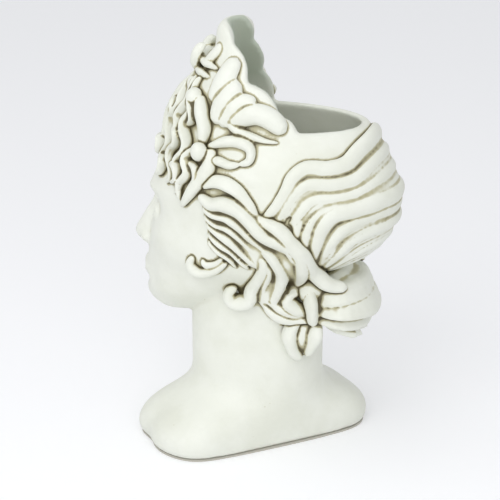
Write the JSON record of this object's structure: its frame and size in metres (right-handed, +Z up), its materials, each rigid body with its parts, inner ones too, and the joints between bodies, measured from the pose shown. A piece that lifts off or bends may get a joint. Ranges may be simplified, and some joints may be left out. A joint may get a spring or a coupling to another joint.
{
  "type": "head planter",
  "caption": "Free-standing classical head planter: a hollow cast bust on an oblong foot, with crested and knotted hair, open at the crown as a planting bowl with a drain plug.",
  "frame": {"origin": "centre of the underside of the oblong foot, on the felt's face", "axes": "+Z up, X along the foot's long side, -Y out of the foot's front; the head is turned 48 degrees to its own left, towards +X"},
  "size_m": [0.1909, 0.1662, 0.33],
  "materials": {
    "casting": "cream paint, semi-matte",
    "hair": "cream paint with an olive-brown wash in the grooves",
    "plug": "matte",
    "felt": "felt"
  },
  "bodies": {
    "planter": {"neck_and_foot": "casting", "head_bowl": "casting", "crest_wall": "casting", "face_relief": "casting", "ear_left": "casting", "ear_right": "casting", "side_locks_left": "hair", "side_locks_right": "hair", "crown_waves_left": "hair", "crown_waves_right": "hair", "forehead_curls_left": "hair", "forehead_curls_right": "hair", "crest_locks_left": "hair", "crest_locks_right": "hair", "topknot_bow": "hair", "nape_knot": "hair", "nape_tail_left": "hair", "nape_tail_right": "hair", "base_felt": "felt"},
    "drain_plug": {"drain_plug": "plug"}
  },
  "joints": [
    {"name": "drain_plug_lift", "type": "slide", "parent": "planter", "child": "drain_plug", "axis": [0, 0, 1], "range_m": [0, 0.2]}
  ]
}
